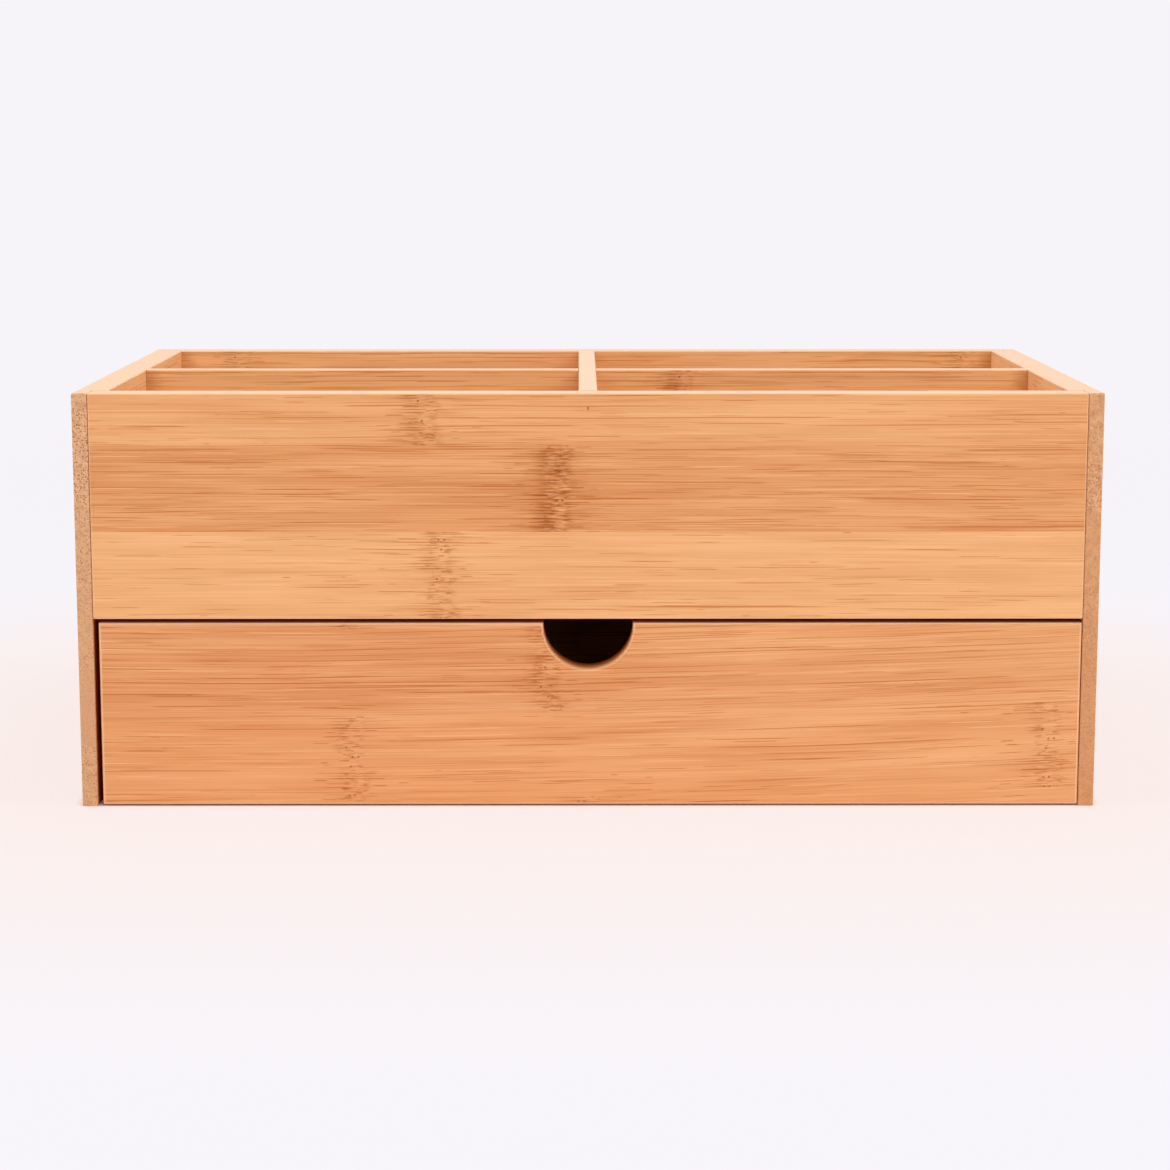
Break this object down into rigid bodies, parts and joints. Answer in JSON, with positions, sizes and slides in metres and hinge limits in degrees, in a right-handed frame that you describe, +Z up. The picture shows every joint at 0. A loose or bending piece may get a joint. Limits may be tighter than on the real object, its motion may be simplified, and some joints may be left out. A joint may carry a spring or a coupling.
{
  "type": "desk organizer with drawer",
  "caption": "Low rectangular bamboo desk box: open compartments divided by a lapped cross above, and a full-width drawer with a half-round finger notch below.",
  "frame": {"origin": "middle of the base: half way across and half way back, on the surface that the box stands on", "axes": "+Z up, the front with the drawer faces -Y, +X to the right when seen from the front"},
  "size_m": [0.341, 0.195, 0.1395],
  "materials": {
    "bamboo": "satin clear lacquer on solid bamboo",
    "bamboo_front": "satin clear lacquer on wide-strip bamboo",
    "bamboo_panel": "thin bamboo plywood, sanded",
    "steel": "plain wire pin"
  },
  "bodies": {
    "case": {"back": "bamboo", "back_pins": "steel", "case_bottom": "bamboo_panel", "cross_divider": "bamboo", "cross_divider_pins": "steel", "left_side": "bamboo", "long_divider": "bamboo", "long_divider_pins": "steel", "right_side": "bamboo", "tray_floor": "bamboo_panel", "upper_front": "bamboo_front", "upper_front_pins": "steel"},
    "drawer": {"drawer_back": "bamboo", "drawer_back_pins": "steel", "drawer_bottom": "bamboo_panel", "drawer_bottom_pins": "steel", "drawer_front": "bamboo_front", "drawer_front_pins": "steel", "drawer_left_side": "bamboo", "drawer_right_side": "bamboo"}
  },
  "joints": [
    {"name": "drawer_slide", "type": "slide", "parent": "case", "child": "drawer", "axis": [0, -1, 0], "range_m": [0, 0.13]}
  ]
}
